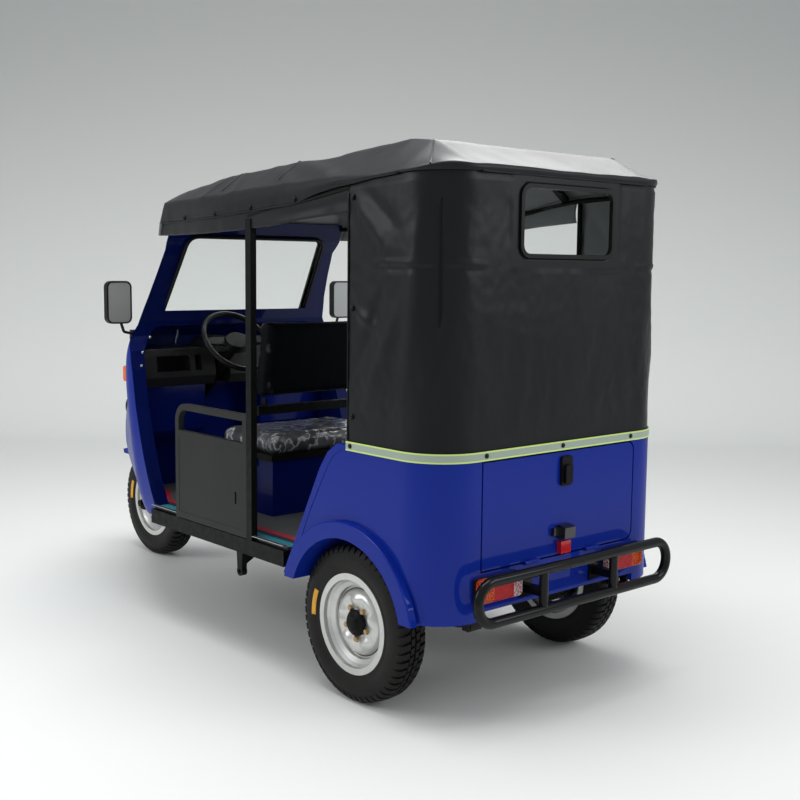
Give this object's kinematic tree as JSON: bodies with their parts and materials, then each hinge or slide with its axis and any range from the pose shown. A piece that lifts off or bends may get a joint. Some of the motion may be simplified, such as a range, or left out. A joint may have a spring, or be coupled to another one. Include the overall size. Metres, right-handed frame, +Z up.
{
  "type": "passenger motor tricycle",
  "caption": "Passenger motor tricycle with a rounded steel cab, open sides, low guards, a vinyl canopy with a rear curtain, a steered front wheel and a drop-down tailgate.",
  "frame": {"origin": "centre of the outline on the ground, midway between the front tyre's foremost point and the rear bumper", "axes": "+X towards the vehicle's left, -Y towards the front, +Z up"},
  "size_m": [1.284, 2.991, 1.832],
  "materials": {
    "body_paint": "gloss",
    "rail_steel": "satin",
    "frame_steel": "satin",
    "bumper_steel": "satin",
    "rim_paint": "gloss",
    "bare_steel": "satin",
    "latch_chrome": "polished",
    "tyre": "matte",
    "black_rubber": "matte",
    "mat": "matte",
    "black_plastic": "matte",
    "dash_plastic": "matte",
    "amber_lens": "gloss",
    "red_lens": "gloss",
    "strip": "gloss",
    "clear_lens": "polished",
    "glass": "polished",
    "mirror": "polished",
    "canopy_vinyl": "satin",
    "seat_vinyl": "gloss"
  },
  "bodies": {
    "chassis": {"battery_box": "frame_steel", "bulkhead": "body_paint", "cab_shell": "body_paint", "chassis_frame": "frame_steel", "curtain_posts": "frame_steel", "dashboard": "dash_plastic", "door_pillars": "rail_steel", "driver_seat_base": "body_paint", "driver_seat_frame": "frame_steel", "floor_mat": "mat", "floor_pan": "frame_steel", "front_indicators": "amber_lens", "headlamp_lenses": "clear_lens", "headlamp_shells": "black_plastic", "leaf_springs": "frame_steel", "mirror_cases": "black_plastic", "mirror_panes": "mirror", "pedals": "black_plastic", "rear_axle": "frame_steel", "rear_bench_base": "frame_steel", "rear_body": "body_paint", "rear_bumper": "bumper_steel", "rear_curtain": "canopy_vinyl", "reflective_strip": "strip", "roof_bows": "frame_steel", "roof_canopy": "canopy_vinyl", "roof_rails": "frame_steel", "seat_backrests": "seat_vinyl", "seat_cushions": "seat_vinyl", "side_guards": "rail_steel", "side_sills": "rail_steel", "steering_head": "frame_steel", "tail_lamp_bases": "black_plastic", "tail_lamp_lenses": "red_lens", "window_panes": "glass", "window_rubbers": "black_rubber", "wiper": "black_plastic"},
    "fork": {"fork": "frame_steel", "mudguard": "body_paint"},
    "front_wheel": {"rim_front": "rim_paint", "tyre_front": "tyre", "hub_front": "bare_steel"},
    "rear_wheel_left": {"rim_rear_left": "rim_paint", "tyre_rear_left": "tyre", "hub_rear_left": "bare_steel"},
    "rear_wheel_right": {"rim_rear_right": "rim_paint", "tyre_rear_right": "tyre", "hub_rear_right": "bare_steel"},
    "steering_wheel": {"steering_wheel": "black_plastic"},
    "tailgate": {"tailgate": "body_paint", "gate_latch": "latch_chrome", "gate_lamp": "red_lens"}
  },
  "joints": [
    {"name": "steer", "type": "hinge", "parent": "chassis", "child": "fork", "pos_m": [0, -1.06602, 0.59995], "axis": [0, 0.342, 0.9397], "range_deg": [-35, 35]},
    {"name": "front_wheel_spin", "type": "hinge", "parent": "fork", "child": "front_wheel", "pos_m": [0, -1.2305, 0.265], "axis": [1, 0, 0], "continuous": true},
    {"name": "rear_wheel_left_spin", "type": "hinge", "parent": "chassis", "child": "rear_wheel_left", "pos_m": [0.491, 0.9645, 0.265], "axis": [1, 0, 0], "continuous": true},
    {"name": "rear_wheel_right_spin", "type": "hinge", "parent": "chassis", "child": "rear_wheel_right", "pos_m": [-0.491, 0.9645, 0.265], "axis": [1, 0, 0], "continuous": true},
    {"name": "steering_wheel_turn", "type": "hinge", "parent": "chassis", "child": "steering_wheel", "pos_m": [0.1, -0.3795, 1.114], "axis": [0, 0.7431, 0.6691], "range_deg": [-141, 141]},
    {"name": "tailgate_hinge", "type": "hinge", "parent": "chassis", "child": "tailgate", "pos_m": [0, 1.4015, 0.5], "axis": [-1, 0, 0], "range_deg": [0, 40]}
  ],
  "couplings": [
    {"joint": "steering_wheel_turn", "follows": "steer", "ratio": 4}
  ]
}
